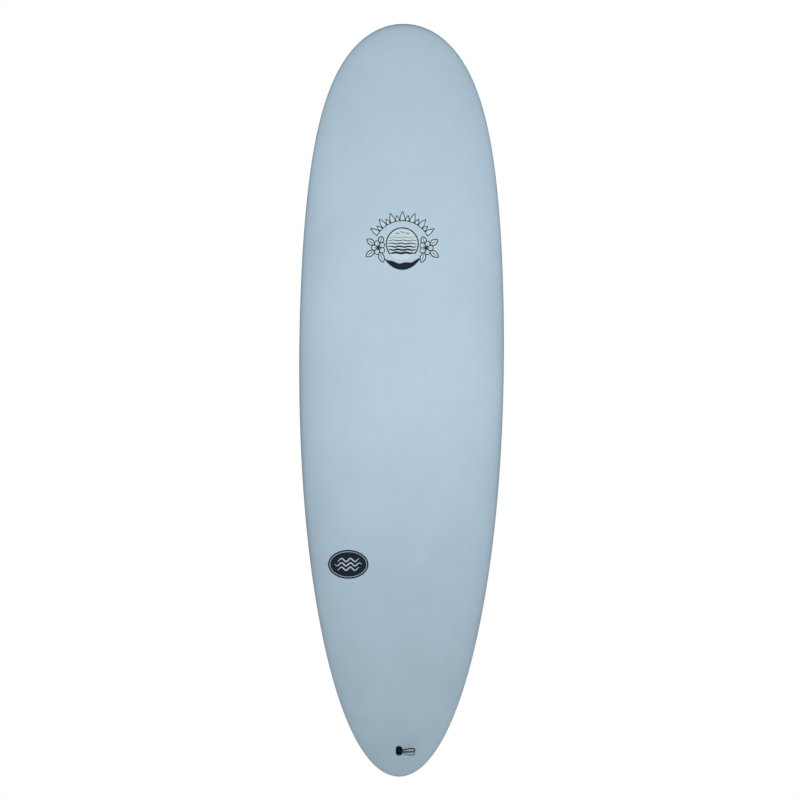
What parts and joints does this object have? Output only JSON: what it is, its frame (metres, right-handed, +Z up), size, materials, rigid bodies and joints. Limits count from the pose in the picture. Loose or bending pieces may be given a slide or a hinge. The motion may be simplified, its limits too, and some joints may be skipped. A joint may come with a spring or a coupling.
{
  "type": "soft-top surfboard",
  "caption": "Soft-top mid-length surfboard with a rounded egg outline, foam deck, slick bottom, removable centre and side fins and a leash plug with a cord loop.",
  "frame": {"origin": "middle of the flat patch of the bottom, at half length on the centre line", "axes": "+Z up the length to the nose, +Y out of the bottom (fin side), -Y out of the deck, X across"},
  "size_m": [0.5671, 0.2729, 2.0822],
  "materials": {
    "deck_foam": "matte",
    "slick_bottom": "satin",
    "core_foam": "matte",
    "stringer_wood": "matte",
    "black_plastic": "satin",
    "fin_plastic": "satin",
    "stainless": "satin",
    "brass_pin": "satin",
    "leash_cord": "matte"
  },
  "bodies": {
    "board": {"bottom_skin": "slick_bottom", "deck_skin": "deck_foam", "core_left": "core_foam", "core_centre": "core_foam", "core_right": "core_foam", "stringer_left": "stringer_wood", "stringer_right": "stringer_wood", "leash_plug_cup": "black_plastic", "leash_plug_pin": "stainless", "centre_fin_box": "black_plastic", "side_fin_box_left": "black_plastic", "side_fin_box_right": "black_plastic"},
    "leash_loop": {"leash_hitch": "leash_cord", "leash_string": "leash_cord"},
    "centre_fin_set": {"centre_fin": "fin_plastic", "centre_fin_roll_pin": "brass_pin", "centre_fin_plate": "stainless"},
    "centre_screw": {"centre_fin_screw": "stainless"},
    "fin_left": {"side_fin_left": "fin_plastic"},
    "fin_right": {"side_fin_right": "fin_plastic"},
    "grub_left_front": {"grub_screw_left_front": "stainless"},
    "grub_left_rear": {"grub_screw_left_rear": "stainless"},
    "grub_right_front": {"grub_screw_right_front": "stainless"},
    "grub_right_rear": {"grub_screw_right_rear": "stainless"}
  },
  "joints": [
    {"name": "leash_loop_swing", "type": "hinge", "parent": "board", "child": "leash_loop", "pos_m": [0, -0.07145, -0.9693], "axis": [0, -0.0449, 0.999], "range_deg": [-78, 0]},
    {"name": "centre_fin_slide", "type": "slide", "parent": "board", "child": "centre_fin_set", "axis": [0, -0.0766, -0.9971], "range_m": [-0.04, 0.04]},
    {"name": "centre_fin_screw_turn", "type": "hinge", "parent": "centre_fin_set", "child": "centre_screw", "pos_m": [0, -0.01954, -0.71569], "axis": [0, 0.9971, -0.0766], "continuous": true},
    {"name": "side_fin_left_pull", "type": "slide", "parent": "board", "child": "fin_left", "axis": [-0.1058, 0.9929, -0.0537], "range_m": [0, 0.018]},
    {"name": "side_fin_right_pull", "type": "slide", "parent": "board", "child": "fin_right", "axis": [0.1058, 0.9929, -0.0537], "range_m": [0, 0.018]},
    {"name": "grub_screw_left_front_turn", "type": "hinge", "parent": "board", "child": "grub_left_front", "pos_m": [-0.17382, -0.02133, -0.59201], "axis": [-0.6955, 0.7181, -0.0263], "continuous": true},
    {"name": "grub_screw_left_rear_turn", "type": "hinge", "parent": "board", "child": "grub_left_rear", "pos_m": [-0.1752, -0.02515, -0.65988], "axis": [-0.6955, 0.7181, -0.0263], "continuous": true},
    {"name": "grub_screw_right_front_turn", "type": "hinge", "parent": "board", "child": "grub_right_front", "pos_m": [0.17382, -0.02133, -0.59201], "axis": [0.6955, 0.7181, -0.0263], "continuous": true},
    {"name": "grub_screw_right_rear_turn", "type": "hinge", "parent": "board", "child": "grub_right_rear", "pos_m": [0.1752, -0.02515, -0.65988], "axis": [0.6955, 0.7181, -0.0263], "continuous": true}
  ]
}
